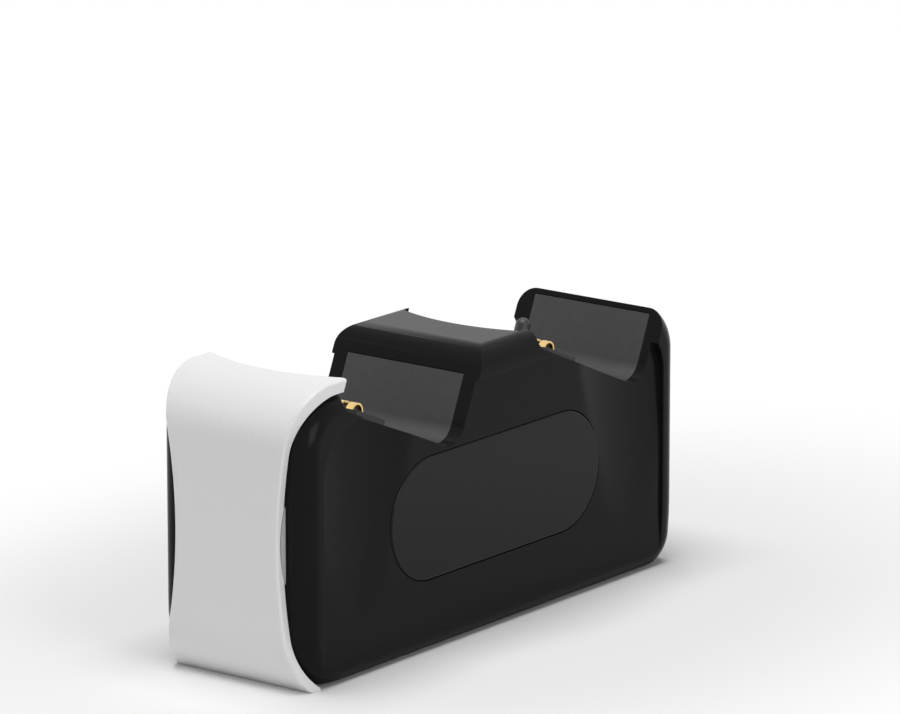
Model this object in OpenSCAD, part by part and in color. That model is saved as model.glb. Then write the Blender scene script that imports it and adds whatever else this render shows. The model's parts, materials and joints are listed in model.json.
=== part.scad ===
// Charging dock for two gamepads that stand one behind the other.
// The front of the band is at y = 0 while the pieces are drawn, the table is at z = 0,
// and placed() moves everything so that the middle of the dock stands on the origin.

/* [Dock] */
// Depth from the front of the band to the back wall
dock_depth = 132; // [128:1:146]
// Height of the top of the band above the table
dock_height = 64.4; // [60:0.2:70]
// Width of the housing
housing_width = 39.2; // [37:0.2:46]
// Clear height under the housing
foot_gap = 0.8; // [0.5:0.1:1.6]
// Clearance between moulded pieces that fit together
fit = 0.15; // [0.1:0.05:0.25]

/* [Front band] */
// Thickness of the band at its front
band_thickness = 1.6; // [1.4:0.1:2]
// Thickness of the band at its top
top_thickness = 2.6; // [2.2:0.1:3]
// Distance from the side of the housing to the band's waist
waist_inset = 6; // [5:0.1:8]
// Height of the waist
waist_height = 31.5; // [26:0.5:36]
// Radius of the waisted sides, seen from the front
waist_radius = 112; // [100:1:160]
// Radius of the curl under the front
bottom_curl = 15.7; // [13:0.1:18]
// Height of the bottom curl's centre
bottom_curl_height = 12; // [10:0.1:14]
// Radius of the curl over the top
top_curl = 12.4; // [10:0.1:14]
// Radius of that curl on the inside of the band
inner_curl = 13.5; // [12.6:0.1:14.5]
// Flat length of the band behind its top curl
band_top = 4.6; // [3:0.1:7]
// Rounding of the band's outer edges
band_edge = 1; // [0.4:0.1:1.6]

/* [Housing] */
// Rounding of the housing's side edges
edge_round = 2.6; // [2:0.1:4]
// Height up to which the sides lean in towards the table
tuck_height = 15.4; // [10:0.2:18]
// Radius of that lean
tuck_radius = 100; // [80:1:160]
// Wall above the table and at the front and back
wall = 2.2; // [1.8:0.1:2.8]
// Wall at the sides, before the side recess is cut
side_wall = 4.6; // [4.2:0.1:5.4]
// Radius at the top of the back wall
back_top_radius = 11; // [8:0.5:13]
// Height of the back wall
back_height = 59.4; // [56:0.2:61]
// Radius at the foot of the back wall
back_foot_radius = 8; // [5:0.5:10]
// Height of the centre of that radius
back_foot_height = 7; // [5:0.1:10]

/* [Side recess] */
// Depth of the recess in each side
recess_depth = 0.7; // [0.4:0.1:1]
// Distance from the front of the band to the recess
recess_start = 8.3; // [7:0.1:10]
// Width of the housing's rim behind the recess
recess_end = 5.6; // [4:0.1:8]
// Width of the rim above the recess
recess_rim = 6.2; // [4:0.1:8]
// Radius of the recess's upper corners
recess_radius = 11.3; // [8:0.1:14]
// Depth of the scoop before and behind the side panel
scoop_depth = 0.6; // [0.3:0.1:1.2]
// Radius of the scoop
scoop_radius = 100; // [70:1:140]
// Lean of the scoop, which makes it deeper towards the top
scoop_lean = 2.6; // [0:0.1:4]

/* [Side panels] */
// Height of a side panel
panel_height = 26.6; // [20:0.2:28]
// Distance from the front of the band to the panel
panel_start = 31; // [28:0.5:36]
// Height of the panel's lower edge
panel_base = 15.7; // [15.6:0.1:18]
// Thickness of a panel
panel_thickness = 1.6; // [1.2:0.1:2]
// Height by which a panel stands out of its recess
panel_rise = 0.1; // [0.05:0.05:0.3]

/* [Seats] */
// Distance from one gamepad to the next
seat_pitch = 66.5; // [64:0.5:70]
// Angle by which the gamepads lean back
seat_lean = 23.2; // [15:0.2:28]
// Length of a seat's floor, front to back
seat_length = 43; // [38:0.5:44]
// Depth of the seat behind its lip
lip_depth = 6.5; // [4:0.1:8]
// Radius of the bow in the back of a lip
lip_bow = 43; // [36:0.5:60]
// How far the bow reaches into the lip
bow_reach = 3.5; // [2:0.1:4]
// Radius at the foot of the lip
seat_front_radius = 2; // [1:0.1:3]
// Radius at the foot of the back rest
seat_back_radius = 5; // [3:0.1:8]
// Rounding of the middle hump's front edge
hump_round = 6; // [3:0.5:8]
// Thickness of a seat liner
liner_thickness = 1.6; // [1.2:0.1:2]
// Width of the housing's rim beside a liner
liner_rim = 4; // [3.6:0.1:4.6]
// Height of the liner's back rest
rest_height = 16; // [10:0.5:17]
// Distance from the top of the housing down to the liner's front edge
liner_drop = 1; // [0.9:0.1:2]

/* [Contacts] */
// Distance from a contact block to the side of its liner
block_margin = 3.6; // [3:0.1:5]
// Distance from the back of a seat to the middle of its contact block
block_setback = 23.2; // [21:0.1:26]
// Length of a contact block, front to back
block_length = 10; // [8:0.5:12]
// Height of the block above the seat
block_rise = 1.8; // [1:0.1:3]
// Diameter of the locating post
post_diameter = 3.3; // [2.8:0.1:3.5]
// Height of the locating post above its block
post_height = 6; // [4:0.5:9]
// Distance from the post to the inner contacts
contact_offset = 4.4; // [4:0.1:4.8]
// Distance between neighbouring contacts
contact_pitch = 3; // [2.6:0.1:3.2]
// Width of a contact
contact_width = 1.6; // [1.2:0.1:2]
// Thickness of the contact strip
contact_thickness = 0.4; // [0.3:0.05:0.5]

/* [Base and inside] */
// Thickness of the base plate
base_thickness = 2; // [1.6:0.1:3]
// Distance between the two feet of a pair
foot_split = 4; // [2:0.5:8]
// Depth of a foot's recess in the base plate
foot_recess = 0.8; // [0.4:0.1:1]
// Diameter of the housing's screw bosses
boss_diameter = 6; // [5:0.1:7]
// Height of the screw bosses above the base plate
boss_height = 18; // [12:0.5:22]
// Distance from the ends of the base plate to the outer bosses
boss_inset = 5; // [4:0.5:7]
// Depth by which a boss runs into the side wall
boss_root = 0.6; // [0.4:0.1:1]
// Distance from the ends of the base plate to the feet
foot_inset = 18; // [12:0.5:24]
// Diameter of a screw's shank
screw_diameter = 2.2; // [2:0.1:2.6]
// Diameter of a screw's head
screw_head = 4.4; // [4:0.1:5]
// Distance from a foot to the side of the base plate
foot_margin = 2; // [1.5:0.1:3]
// Thickness of the circuit boards
board_thickness = 1.2; // [0.8:0.1:1.6]
// Length of the main board
board_length = 54; // [48:0.5:56]
// Clearance between the main board and the screw bosses
board_gap = 0.6; // [0.3:0.1:1.5]
// Distance from the ends of the main board to its screws
standoff_inset = 10; // [9:0.5:11]
// Thickness of the ballast plate
ballast_thickness = 4; // [2:0.5:5]
// Clearance between the ballast plate and the screw bosses
ballast_gap = 1.2; // [0.8:0.1:3]
// Height of the middle of the power inlet
inlet_height = 10.6; // [10:0.1:12]
// Width of the inlet's metal shell
inlet_width = 9; // [8:0.1:10]
// Height of the inlet's metal shell
inlet_size = 3.2; // [3:0.1:4]
// Length of the inlet's metal shell
inlet_length = 8; // [7:0.5:10]
// Width of the recess for the plug
plug_width = 13; // [12.5:0.5:15]
// Height of the recess for the plug
plug_size = 7; // [6.5:0.1:8]
// Depth of the recess for the plug
plug_depth = 5; // [4.6:0.1:6]

/* [Hidden] */
$fn = 64;

half_width = housing_width / 2;
far = 400;
// How far a cutting tool runs past the surface that it cuts
over = 1;
// Least size of a face that closes up at the end of a range
thin = 0.01;
// The housing lies behind the band, one fit further in
skin = band_thickness + fit;
band_waist = housing_width - 2 * waist_inset;
inner_y = band_thickness + inner_curl;
inner_z = dock_height - top_thickness - inner_curl;
housing_top = dock_height - top_thickness - fit;
cavity_half = half_width - side_wall;
base_top = foot_gap + base_thickness;
top_curl_height = dock_height - top_curl;
// Corner where a seat's floor meets its lip
lip_y = top_curl + band_top;
seat_y = lip_y - lip_depth * sin(seat_lean);
seat_z = dock_height - lip_depth * cos(seat_lean);
rear = seat_pitch;
rear_lip_y = lip_y + rear;
base_front = bottom_curl;
base_back = dock_depth - back_foot_radius;
recess_floor_y = dock_depth - plug_depth;
board_z = inlet_height - inlet_size / 2 - board_thickness;
board_top = board_z + board_thickness;
board_back = dock_depth - plug_depth - wall - fit;
board_front = board_back - board_length;
foot_diameter = cavity_half - foot_margin - foot_split / 2;
foot_x = (foot_split + foot_diameter) / 2;

function arc(y, z, r, from, to, steps) =
    [for (i = [0:steps]) let (a = from + (to - from) * i / steps) [y + r * cos(a), z + r * sin(a)]];

module placed() { translate([0, -dock_depth / 2, 0]) children(); }
// Draws a profile given in y and z as a solid that is this wide, middle on x = 0
module across(width) {
    rotate([90, 0, 90]) translate([0, 0, -width / 2]) linear_extrude(width) children();
}
// The frame of a seat: y runs back along its floor, z runs up along the gamepad
module in_seat(shift) { translate([0, seat_y + shift, seat_z]) rotate([-seat_lean, 0, 0]) children(); }
module both_sides() { children(); mirror([1, 0, 0]) children(); }

// Front band

function band_half(z) =
    let (d = z - waist_height) band_waist / 2 + waist_radius - sqrt(pow(waist_radius, 2) - d * d);
// The band's outer line from under the front to the back of its top, with its direction.
// It starts a little below the table, where it is cut off
below_table = 12;
band_foot_angle = 180 + asin(bottom_curl_height / bottom_curl) + below_table;
curl_step = 5;
front_steps = 10;
front_rise = (top_curl_height - bottom_curl_height) / front_steps;
band_line = concat(
    [for (a = [band_foot_angle:-curl_step:181])
        [bottom_curl * (1 + cos(a)), bottom_curl_height + bottom_curl * sin(a), a]],
    [for (i = [0:front_steps]) [0, bottom_curl_height + front_rise * i, 180]],
    [for (a = [180 - curl_step:-curl_step:90])
        [top_curl * (1 + cos(a)), top_curl_height + top_curl * sin(a), a]],
    [[inner_y, dock_height, 90], [lip_y + over, dock_height, 90]]);
// Thickness of the band, measured square to its outer line
function band_depth(p) =
    let (n = [cos(p[2]), sin(p[2])], d = [p[0] - inner_y, p[1] - inner_z])
    d[1] <= 0 ? band_thickness : d[0] >= 0 ? top_thickness
        : d * n - sqrt(pow(d * n, 2) - d * d + pow(inner_curl, 2));
function band_ring(p) =
    let (w = band_half(min(p[1], dock_height)), e = band_edge, t = band_depth(p),
        out = [cos(p[2]), sin(p[2])],
        side = concat([[w, t]], [for (a = [0:22.5:90]) [w - e + e * cos(a), e - e * sin(a)]]),
        ring = concat(side, [for (i = [len(side) - 1:-1:0]) [-side[i][0], side[i][1]]]))
    [for (q = ring) [q[0], p[0] - out[0] * q[1], p[1] - out[1] * q[1]]];

module loft(rings) {
    n = len(rings[0]);
    last = len(rings) - 1;
    polyhedron([for (r = rings) each r],
        concat([[for (j = [n - 1:-1:0]) j]],
            [for (i = [0:last - 1], j = [0:n - 1])
                [i * n + j, i * n + (j + 1) % n, (i + 1) * n + (j + 1) % n, (i + 1) * n + j]],
            [[for (j = [0:n - 1]) last * n + j]]));
}

band_end = bottom_curl - sqrt(pow(bottom_curl - skin, 2) - pow(bottom_curl_height - foot_gap, 2)) - fit;

// Hooks on the back of the band that snap through the housing's front wall
clip_side = 8;
clip_base = 17;
clip_drop = 18.4;
clip_rows = [clip_base, dock_height - clip_drop];
clip_width = 5;
clip_thickness = 1.6;
clip_nose = 0.8;
module at_clips() {
    for (x = [-clip_side, clip_side], z = clip_rows) translate([x, 0, z]) children();
}
module clip_slot() {
    translate([-clip_width / 2 - fit, 0, -clip_thickness / 2 - fit])
        cube([clip_width + 2 * fit, skin + wall + over, clip_thickness + clip_nose + 2 * fit]);
}
module clip() {
    end = skin + wall + fit;
    across(clip_width) {
        translate([band_thickness - over, -clip_thickness / 2])
            square([end + 2 * clip_nose - band_thickness + over, clip_thickness]);
        polygon([[end, 0], [end, clip_thickness / 2 + clip_nose], [end + 2 * clip_nose, clip_thickness / 2],
            [end + 2 * clip_nose, 0]]);
    }
}

module front_band() {
    color("white") placed() at_clips() clip();
    color("white") placed() difference() {
        loft([for (p = band_line) band_ring(p)]);
        translate([-far / 2, -far / 2, -far]) cube(far);
        translate([-far / 2, band_end, -over]) cube([far, bottom_curl, over + foot_gap + fit]);
        in_seat(0) seat_space(0, far / 2, far / 2, far / 2);
        both_sides() light_guide_body(fit);
    }
}

// Light guides: lens-shaped strips that show at the waist of the band

guide_length = 16.8;
guide_rise = 1.3;
guide_width = 3.4;
guide_radius = (pow(guide_length / 2, 2) + pow(guide_rise, 2)) / (2 * guide_rise);
guide_face = band_half(waist_height + guide_length / 2);
// How far a guide's back sinks into the housing
guide_seat = 0.85;
guide_back = skin + guide_seat;

module light_guide_body(gap) {
    intersection() {
        translate([guide_face - guide_width - gap, guide_back - guide_rise + guide_radius, waist_height])
            rotate([0, 90, 0]) cylinder(h = guide_width + gap, r = guide_radius + gap, $fn = 360);
        translate([0, -over, waist_height - guide_length])
            cube([far, over + guide_back + gap, 2 * guide_length]);
    }
}
lamp_width = 2.4;
module light_guide() {
    light_guide_body(0);
    translate([guide_face - guide_width, guide_back - over / 2, waist_height - lamp_width / 2])
        cube([lamp_width, indicator_y - indicator_lamp - guide_back + over / 2, lamp_width]);
}
module light_guide_left() { color("lightgrey") placed() mirror([1, 0, 0]) light_guide(); }
module light_guide_right() { color("lightgrey") placed() light_guide(); }

// Housing

module wheel(y, z, r) {
    e = min(edge_round, r / 2);
    side = concat([[0, half_width]], arc(r - e, half_width - e, e, 90, 0, 6));
    rim = concat(side, [for (i = [len(side) - 1:-1:0]) [side[i][0], -side[i][1]]]);
    translate([0, y, z]) rotate([0, 90, 0]) rotate_extrude($fn = 72) polygon(rim);
}
module envelope() {
    intersection() {
        hull() {
            wheel(bottom_curl, bottom_curl_height, bottom_curl - skin);
            wheel(inner_y, inner_z, inner_curl - fit);
            wheel(rear_lip_y, housing_top - hump_round, hump_round);
            wheel(dock_depth - back_top_radius, back_height - back_top_radius, back_top_radius);
            wheel(base_back, back_foot_height, back_foot_radius);
        }
        translate([0, 0, foot_gap]) tucked_sides();
    }
}
// The section of the housing, which leans in over its lowest part
module tucked_sides() {
    height = tuck_height - foot_gap;
    rotate([90, 0, 0]) translate([0, 0, -far / 2]) linear_extrude(far) union() {
        translate([-half_width, height]) square([housing_width, far]);
        intersection() {
            translate([-half_width, 0]) square([housing_width, height]);
            translate([half_width - tuck_radius, height]) circle(tuck_radius, $fn = 360);
            translate([tuck_radius - half_width, height]) circle(tuck_radius, $fn = 360);
        }
    }
}

// A seat as a space: grown is the thickness of what lies under its surface
module seat_space(grown, half_w, lip_h, rest_h) {
    rf = seat_front_radius + grown;
    rb = seat_back_radius + grown;
    across(2 * half_w) union() {
        translate([rf - grown, -grown]) square([seat_length + 2 * grown - rf - rb, lip_h + grown]);
        translate([-grown, rf - grown]) square([rf, max(lip_h + grown - rf, thin)]);
        translate([seat_length + grown - rb, rb - grown]) square([rb, max(rest_h + grown - rb, thin)]);
        translate([rf - grown, rf - grown]) circle(rf);
        translate([seat_length + grown - rb, rb - grown]) circle(rb);
    }
    intersection() {
        translate([0, lip_bow - bow_reach, -grown])
            cylinder(h = lip_h + grown, r = lip_bow + grown, $fn = 180);
        translate([-half_w, -bow_reach - grown - over, -grown])
            cube([2 * half_w, bow_reach + grown + over + seat_length / 4, lip_h + grown]);
    }
}
liner_half = half_width - liner_rim;
web_under = liner_thickness + fit + wall;

module seat_cut(shift) {
    in_seat(shift) {
        seat_space(0, far / 2, far / 2, far / 2);
        seat_space(liner_thickness + fit, liner_half, lip_depth, rest_height + fit);
        contact_window(fit);
    }
}
// The rounded front edge of the middle hump
module hump_edge() {
    base = [seat_y + seat_length * cos(seat_lean), seat_z - seat_length * sin(seat_lean)];
    rise = (housing_top - base[1]) / cos(seat_lean);
    up = [sin(seat_lean), cos(seat_lean)];
    corner = base + up * rise;
    reach = hump_round / tan((90 + seat_lean) / 2);
    middle = corner + [reach, -hump_round];
    across(far) difference() {
        polygon([corner - up * reach, corner + [-over, over], corner + [reach, over],
            corner + [reach, 0], middle]);
        translate(middle) circle(hump_round);
    }
}

recess_front = recess_start;
recess_back = dock_depth - recess_end;
recess_top = housing_top - recess_rim;
module recess_outline() {
    r = recess_radius;
    union() {
        translate([recess_front, foot_gap - over])
            square([recess_back - recess_front, recess_top - r - foot_gap + over]);
        translate([recess_front + r, foot_gap])
            square([recess_back - recess_front - 2 * r, recess_top - foot_gap]);
        translate([recess_front + r, recess_top - r]) circle(r);
        translate([recess_back - r, recess_top - r]) circle(r);
    }
}
panel_round = panel_height / 2;
panel_front = panel_start + panel_round;
panel_back = recess_front + recess_back - panel_front;
module panel_outline(gap) {
    translate([panel_front, panel_base + panel_round]) circle(panel_round + gap);
    translate([panel_back, panel_base + panel_round]) circle(panel_round + gap);
    translate([panel_front, panel_base - gap]) square([panel_back - panel_front, panel_height + 2 * gap]);
}
recess_face = half_width - recess_depth;
scoop_y = (recess_front + panel_start) / 2;
module scoop(y) {
    translate([recess_face - scoop_depth + scoop_radius, y, panel_base + panel_round])
        rotate([0, -scoop_lean, 0])
            cylinder(h = 3 * dock_height, r = scoop_radius, center = true, $fn = 360);
}
module side_recess() {
    translate([recess_face + far / 2, 0, 0]) across(far) recess_outline();
    difference() {
        intersection() {
            translate([half_width, 0, 0]) across(2 * side_wall) recess_outline();
            union() {
                intersection() {
                    scoop(scoop_y);
                    cube([far, panel_front, far]);
                }
                intersection() {
                    scoop(recess_front + recess_back - scoop_y);
                    translate([0, panel_back, 0]) cube(far);
                }
            }
        }
        translate([half_width, 0, 0]) across(4 * side_wall) panel_outline(0);
    }
    translate([recess_face + far / 2 - panel_thickness, 0, 0]) across(far) panel_outline(fit);
}

// The hollow of the housing, open at the bottom
module cavity() {
    r = bottom_curl - skin - wall;
    intersection() {
        across(2 * cavity_half) difference() {
            hull() {
                translate([bottom_curl, bottom_curl_height]) circle(r);
                translate([inner_y, inner_z]) circle(inner_curl - fit - wall);
                translate([rear_lip_y, housing_top - hump_round]) circle(hump_round - wall);
                translate([dock_depth - back_top_radius, back_height - back_top_radius])
                    circle(back_top_radius - wall);
                translate([base_back, back_foot_height]) circle(back_foot_radius - wall);
            }
            under_seat(0);
            under_seat(rear);
        }
        translate([-far / 2, 0, base_top]) cube(far);
    }
}
module base_opening(gap) {
    translate([gap - cavity_half, base_front + gap, foot_gap])
        cube([2 * (cavity_half - gap), base_back - base_front - 2 * gap, base_thickness]);
}
// What a seat takes from the hollow, with the web below its liner
module under_seat(shift) {
    translate([seat_y + shift, seat_z]) rotate(-seat_lean)
        translate([-bow_reach - web_under, -web_under])
            square([seat_length + bow_reach + 2 * web_under, far]);
}
boss_x = cavity_half - boss_diameter / 2 + boss_root;
board_width = 2 * (boss_x - boss_diameter / 2 - board_gap);
boss_rows = [base_front + boss_inset, (base_front + base_back) / 2, base_back - boss_inset];
module at_bosses() {
    for (y = boss_rows) both_sides() translate([boss_x, y, 0]) children();
}
module housing() {
    color("#202022") placed() {
        difference() {
            envelope();
            seat_cut(0);
            seat_cut(rear);
            hump_edge();
            both_sides() side_recess();
            difference() {
                cavity();
                inlet_wall();
            }
            translate([0, 0, -over]) base_opening(0);
            base_opening(0);
            plug_recess();
            both_sides() guide_slot();
            both_sides() light_guide_body(fit);
            at_clips() clip_slot();
        }
        at_bosses() translate([0, 0, base_top]) difference() {
            cylinder(h = boss_height, d = boss_diameter);
            translate([0, 0, -over]) cylinder(h = boss_height - wall + over, d = screw_diameter);
        }
    }
}
module plug_recess() {
    translate([0, dock_depth - plug_depth, inlet_height]) rotate([-90, 0, 0])
        linear_extrude(plug_depth + over) slot_shape(plug_width, plug_size);
    translate([0, recess_floor_y - wall - over, inlet_height]) rotate([-90, 0, 0])
        linear_extrude(wall + 2 * over) slot_shape(inlet_width + 2 * fit, inlet_size + 2 * fit);
}
// The wall round the plug's recess
module inlet_wall() {
    translate([-plug_width / 2 - wall, recess_floor_y - wall, 0])
        cube([plug_width + 2 * wall, plug_depth + wall, inlet_height + plug_size / 2 + wall]);
}
// An oblong with round ends
module slot_shape(width, height) {
    square([width - height, height], center = true);
    for (s = [-1, 1]) translate([s * (width - height) / 2, 0]) circle(height / 2);
}
module guide_slot() {
    translate([guide_face - guide_width - fit, 0, waist_height - lamp_width / 2 - fit])
        cube([lamp_width + 2 * fit, skin + wall + over, lamp_width + 2 * fit]);
}

// Side panels

module side_panel() {
    translate([recess_face + panel_rise - panel_thickness / 2, 0, 0])
        across(panel_thickness) panel_outline(0);
}
module side_panel_left() { color("#2e2e31") placed() mirror([1, 0, 0]) side_panel(); }
module side_panel_right() { color("#2e2e31") placed() side_panel(); }

// Seats

// The liner's front edge stays below the top of the housing
module seat_liner(shift) {
    difference() {
        in_seat(shift) difference() {
            seat_space(liner_thickness, liner_half - fit, lip_depth, rest_height);
            seat_space(0, far / 2, far / 2, far / 2);
            contact_window(fit);
        }
        translate([-half_width, shift, housing_top - liner_drop]) cube([housing_width, seat_pitch / 2, far]);
    }
}
module front_seat() { color("#333336") placed() seat_liner(0); }
module rear_seat() { color("#333336") placed() seat_liner(rear); }

// Contact blocks, with a post that finds the gamepad's socket

block_width = 2 * (liner_half - block_margin);
block_y = seat_length - block_setback;
flange = 1.6;
flange_reach = 1.5;
under_board = -web_under - flange - board_thickness;
contact_radius = 2;
contact_places = [for (s = [-1, 1], i = [0, 1]) s * (contact_offset + i * contact_pitch)];
module contact_window(gap) {
    translate([-block_width / 2 - gap, block_y - block_length / 2 - gap, -web_under - over])
        cube([block_width + 2 * gap, block_length + 2 * gap, web_under + 2 * over]);
}
module contact_block(shift) {
    top = block_rise + web_under;
    in_seat(shift) translate([0, block_y, -web_under]) difference() {
        union() {
            translate([-block_width / 2, -block_length / 2, 0]) cube([block_width, block_length, top]);
            translate([-block_width / 2 - flange_reach, -block_length / 2 - flange_reach, -flange])
                cube([block_width + 2 * flange_reach, block_length + 2 * flange_reach, flange]);
            cylinder(h = top + post_height - post_diameter / 2, d = post_diameter);
            translate([0, 0, top + post_height - post_diameter / 2]) sphere(d = post_diameter);
        }
        for (x = contact_places)
            translate([x - contact_width / 2 - fit, -contact_radius - fit, -flange - over])
                cube([contact_width + 2 * fit, 2 * (contact_radius + fit), top + flange + 2 * over]);
    }
}
module front_contact_block() { color("#161617") placed() contact_block(0); }
module rear_contact_block() { color("#161617") placed() contact_block(rear); }

module contact_strips(shift) {
    foot = -web_under - flange;
    in_seat(shift) for (x = contact_places) translate([x, block_y, 0]) across(contact_width) {
        for (s = [0, 1]) mirror([s, 0])
            translate([contact_radius - contact_thickness, foot])
                square([contact_thickness, block_rise - foot]);
        translate([0, block_rise]) difference() {
            circle(contact_radius);
            circle(contact_radius - contact_thickness);
            translate([-far / 2, -far]) square(far);
        }
    }
}
module front_contacts() { color("gold") placed() contact_strips(0); }
module rear_contacts() { color("gold") placed() contact_strips(rear); }

module contact_board(shift) {
    in_seat(shift)
        translate([-block_width / 2 - flange_reach, block_y - block_length / 2 - flange_reach, under_board])
            cube([block_width + 2 * flange_reach, block_length + 2 * flange_reach, board_thickness]);
}
module front_contact_board() { color("darkgreen") placed() contact_board(0); }
module rear_contact_board() { color("darkgreen") placed() contact_board(rear); }

// Indicator behind the front wall

indicator_lamp = 0.9;
indicator_y = skin + wall + over + indicator_lamp;
indicator_board_height = 12;
module indicator_board() {
    color("darkgreen") placed()
        translate([over - cavity_half, indicator_y, waist_height - indicator_board_height / 2])
            cube([2 * (cavity_half - over), board_thickness, indicator_board_height]);
}
module indicator_lamps() {
    color("ivory") placed() both_sides()
        translate([guide_face - guide_width, indicator_y - indicator_lamp, waist_height - lamp_width / 2])
            cube([lamp_width, indicator_lamp, lamp_width]);
}

// Base plate and feet

foot_places = [base_front + foot_inset, base_back - foot_inset];
standoff_places = [board_front + standoff_inset, board_back - standoff_inset];
screw_socket = 1.8;
head_height = 0.8;
base_screw_length = 12;
board_screw_length = 4;
board_screw_diameter = 1.6;
pillar_diameter = 5;
module base_plate() {
    pillar = board_z - base_top;
    color("#1b1b1d") placed() difference() {
        union() {
            base_opening(fit);
            for (y = standoff_places) translate([0, y, base_top - thin])
                cylinder(h = pillar + thin, d = pillar_diameter);
        }
        at_bosses() translate([0, 0, foot_gap - over]) {
            cylinder(h = base_thickness + 2 * over, d = screw_diameter + 2 * fit);
            cylinder(h = over + head_height, d = screw_head + 2 * fit);
        }
        for (y = foot_places) both_sides() translate([foot_x, y, foot_gap - over])
            cylinder(h = over + foot_recess, d = foot_diameter);
        for (y = standoff_places) translate([0, y, base_top])
            cylinder(h = board_z, d = board_screw_diameter);
    }
}
module foot(x, y) {
    color("#3a3a3c") placed() translate([x, y, 0])
        cylinder(h = foot_gap + foot_recess, d = foot_diameter - 2 * fit);
}
module foot_front_left() { foot(-foot_x, foot_places[0]); }
module foot_front_right() { foot(foot_x, foot_places[0]); }
module foot_rear_left() { foot(-foot_x, foot_places[1]); }
module foot_rear_right() { foot(foot_x, foot_places[1]); }

module screw(length, head_d, d) {
    difference() {
        union() {
            cylinder(h = head_height, d = head_d);
            cylinder(h = length, d = d);
        }
        translate([0, 0, -over]) cylinder(h = over + head_height / 2, d = screw_socket, $fn = 6);
    }
}
module base_screws() {
    color("silver") placed() at_bosses() translate([0, 0, foot_gap])
        screw(base_screw_length, screw_head, screw_diameter);
}
module board_screws() {
    color("silver") placed() for (y = standoff_places) translate([0, y, board_top + head_height])
        mirror([0, 0, 1]) screw(board_screw_length, screw_head, board_screw_diameter);
}

// Main board and what it carries

module main_board() {
    color("darkgreen") placed() difference() {
        translate([-board_width / 2, board_front, board_z])
            cube([board_width, board_length, board_thickness]);
        for (y = standoff_places) translate([0, y, board_z - over])
            cylinder(h = board_thickness + 2 * over, d = board_screw_diameter + 2 * fit);
    }
}
chip_size = 5;
chip_height = 0.9;
coil_diameter = 6;
coil_height = 3;
// Rows of a chip and its coil, between the board's screws
power_inset = 18;
power_rows = [board_front + power_inset, board_back - power_inset];
module charge_chips() {
    color("#101012") placed() for (y = power_rows)
        translate([-chip_size - over, y - chip_size / 2, board_top])
            cube([chip_size, chip_size, chip_height]);
}
module power_coils() {
    color("#2a2a2c") placed() for (y = power_rows) translate([coil_diameter / 2 + over, y, board_top])
        cylinder(h = coil_height, d = coil_diameter);
}
inlet_sheet = 0.3;
inlet_back = recess_floor_y + over - inlet_length;
tongue_width = 6.6;
tongue_height = 0.7;
module inlet_shell() {
    color("silver") placed() translate([0, inlet_back, inlet_height]) rotate([-90, 0, 0]) difference() {
        linear_extrude(inlet_length) slot_shape(inlet_width, inlet_size);
        translate([0, 0, over]) linear_extrude(inlet_length)
            slot_shape(inlet_width - 2 * inlet_sheet, inlet_size - 2 * inlet_sheet);
    }
}
module inlet_tongue() {
    color("#101012") placed()
        translate([-tongue_width / 2, inlet_back + over, inlet_height - tongue_height / 2])
            cube([tongue_width, inlet_length - 2 * over, tongue_height]);
}

// Leads

lead_width = 5;
lead_thickness = 0.8;
module lead_strip(points, width) {
    across(width) union() {
        for (i = [0:len(points) - 2]) {
            a = points[i];
            b = points[i + 1];
            n = [a[1] - b[1], b[0] - a[0]] / norm(b - a) * lead_thickness / 2;
            polygon([a - n, b - n, b + n, a + n]);
        }
        for (i = [1:len(points) - 2]) translate(points[i]) circle(lead_thickness / 2);
    }
}
function in_seat_at(shift, y, z) = [seat_y + shift + y * cos(seat_lean) + z * sin(seat_lean),
    seat_z - y * sin(seat_lean) + z * cos(seat_lean)];
// A lead leaves its board square, and its last part lies flat on the main board
lead_drop = 2;
lead_foot = 4;
// Height of the leads above the base plate where they run to the main board
lead_lift = 9;
on_board = board_top + lead_thickness / 2;
front_landing = board_front + lead_drop;
rear_landing = (board_front + board_back) / 2;
module seat_lead(shift, bends) {
    start = [for (z = [under_board, under_board - lead_drop]) in_seat_at(shift, block_y, z)];
    color("dimgrey") placed() lead_strip(concat(start, bends), lead_width);
}
module front_lead() {
    seat_lead(0, [[front_landing - lead_foot, on_board + lead_lift], [front_landing, on_board],
        [front_landing + lead_foot, on_board]]);
}
module rear_lead() {
    seat_lead(rear, [[rear_landing, on_board + lead_lift], [rear_landing, on_board],
        [rear_landing - lead_foot, on_board]]);
}
// The indicator's lead is narrower and runs beside the front lead
side_lead_width = lead_width / 2;
module indicator_lead() {
    start = [indicator_y + board_thickness, waist_height - lead_width / 2];
    low = base_top + lead_lift;
    color("dimgrey") placed() translate([-(lead_width + side_lead_width) / 2 - over, 0, 0]) lead_strip([
        start, start + [lead_drop, 0], [ballast_start, low], [board_front - lead_foot, low],
        [front_landing, on_board], [front_landing + lead_foot, on_board]], side_lead_width);
}

// Ballast plate

ballast_start = boss_rows[0] + boss_diameter / 2 + ballast_gap;
ballast_end = boss_rows[1] - boss_diameter / 2 - ballast_gap;
module ballast_plate() {
    color("slategrey") placed() translate([over - cavity_half, ballast_start, base_top])
        cube([2 * (cavity_half - over), ballast_end - ballast_start, ballast_thickness]);
}

front_band();
housing();
base_plate();
side_panel_left();
side_panel_right();
front_seat();
rear_seat();
front_contact_block();
rear_contact_block();
front_contacts();
rear_contacts();
front_contact_board();
rear_contact_board();
light_guide_left();
light_guide_right();
indicator_board();
indicator_lamps();
main_board();
charge_chips();
power_coils();
inlet_shell();
inlet_tongue();
front_lead();
rear_lead();
indicator_lead();
ballast_plate();
foot_front_left();
foot_front_right();
foot_rear_left();
foot_rear_right();
base_screws();
board_screws();
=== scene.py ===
import json
import math

import bmesh
import bpy
from mathutils import Matrix, Vector


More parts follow.
